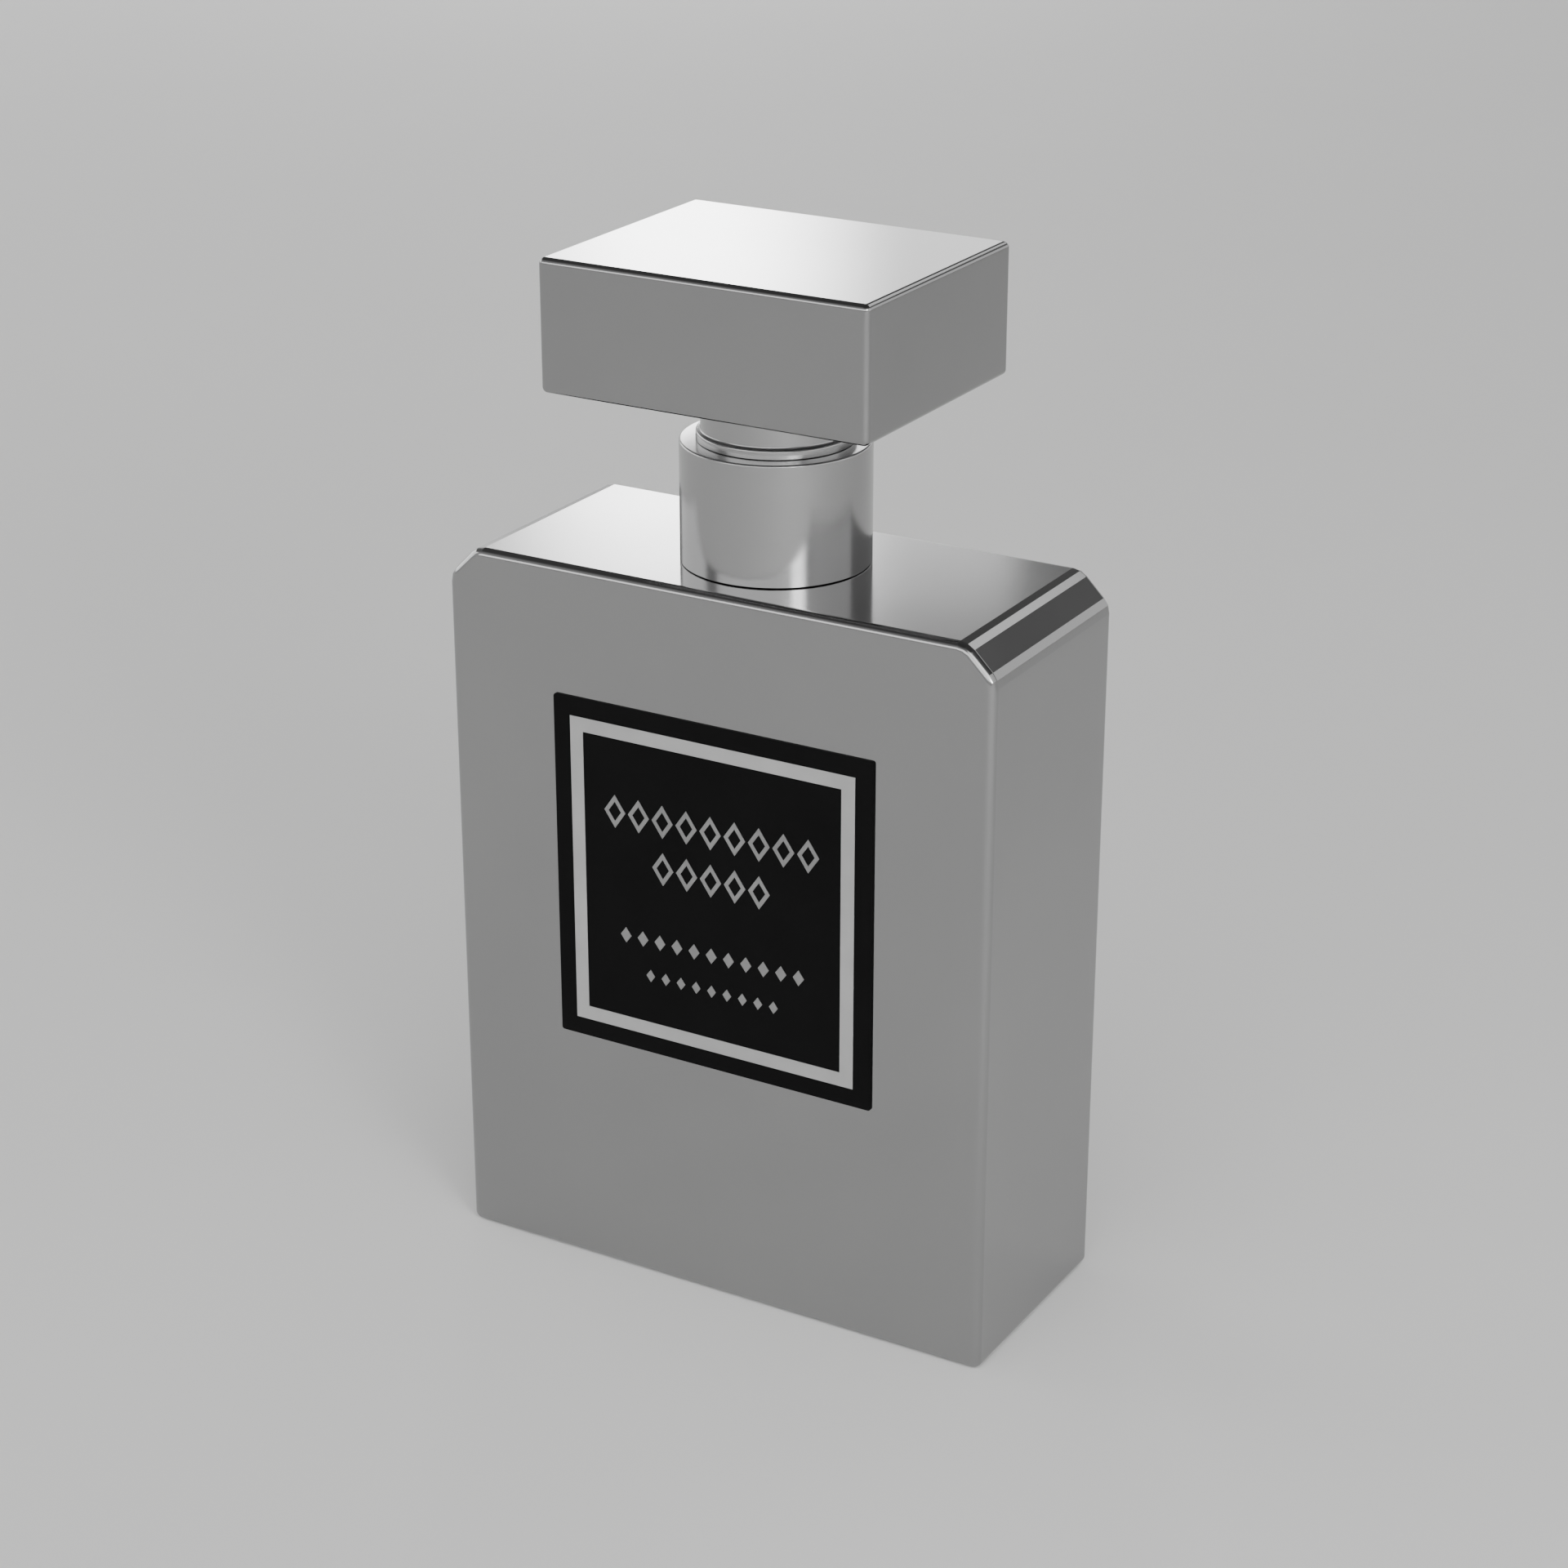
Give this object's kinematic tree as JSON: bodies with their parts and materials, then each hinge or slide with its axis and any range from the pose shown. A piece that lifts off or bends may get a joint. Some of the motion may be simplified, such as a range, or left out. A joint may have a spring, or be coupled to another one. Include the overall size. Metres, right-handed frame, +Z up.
{
  "type": "aftershave bottle",
  "caption": "Flat rectangular spray flask in silver-lacquered glass with a black front label, a crimped pump, a stepped round collar, a press-down button and a lift-off block cap.",
  "frame": {"origin": "on the ground, on the neck's axis, at the middle of the flask's base", "axes": "+Z up along the neck's axis; -Y is the front with the label; +X is the flask's width to the right seen from the front"},
  "size_m": [0.0716, 0.0332, 0.1262],
  "materials": {
    "lacquered_glass": "opaque metallic silver lacquer, satin mirror",
    "liquid": "clear pale liquid",
    "label_black": "black anodised foil plate, satin",
    "silver_foil": "hot-stamped silver foil",
    "seal_rubber": "matte black",
    "pump_plastic": "natural white, slightly translucent",
    "button_plastic": "white, glossy",
    "steel": "bright stainless",
    "ferrule_aluminium": "bright rolled",
    "collar_aluminium": "polished silver anodised",
    "dark_plastic": "moulded black",
    "cap_plastic": "moulded silver grey",
    "cap_metal": "silver, satin mirror",
    "weight_steel": "plain zinc-plated"
  },
  "bodies": {
    "flask": {"bottle": "lacquered_glass", "fragrance": "liquid", "label_plate": "label_black", "label_border": "silver_foil", "label_ornament": "silver_foil", "neck_gasket": "seal_rubber", "pump_housing": "pump_plastic", "turret": "pump_plastic", "stem_seal": "seal_rubber", "main_spring": "steel", "dip_tube": "pump_plastic", "crimp_ferrule": "ferrule_aluminium"},
    "ball": {"inlet_ball": "steel"},
    "plunger": {"stem": "pump_plastic", "piston": "pump_plastic"},
    "button": {"actuator_core": "button_plastic", "actuator_shell": "collar_aluminium", "nozzle_insert": "button_plastic"},
    "collar": {"collar_liner": "dark_plastic", "collar_shell": "collar_aluminium", "collar_sleeve": "collar_aluminium"},
    "cap": {"cap_shell": "cap_metal", "cap_insert": "cap_plastic", "cap_weight": "weight_steel"}
  },
  "joints": [
    {"name": "ball_lift", "type": "slide", "parent": "flask", "child": "ball", "axis": [0, 0, 1], "range_m": [0, 0.0008]},
    {"name": "button_press", "type": "slide", "parent": "flask", "child": "plunger", "axis": [0, 0, -1], "range_m": [0, 0.0045], "stiffness_N_per_m": 2000, "springref_m": -0.004, "deforming": ["main_spring"]},
    {"name": "button_turn", "type": "hinge", "parent": "plunger", "child": "button", "pos_m": [0, 0, 0.11], "axis": [0, 0, 1], "continuous": true},
    {"name": "collar_turn", "type": "hinge", "parent": "flask", "child": "collar", "pos_m": [0, 0, 0.1], "axis": [0, 0, 1], "continuous": true},
    {"name": "cap_lift", "type": "slide", "parent": "collar", "child": "cap", "axis": [0, 0, 1], "range_m": [0, 0.035]}
  ]
}
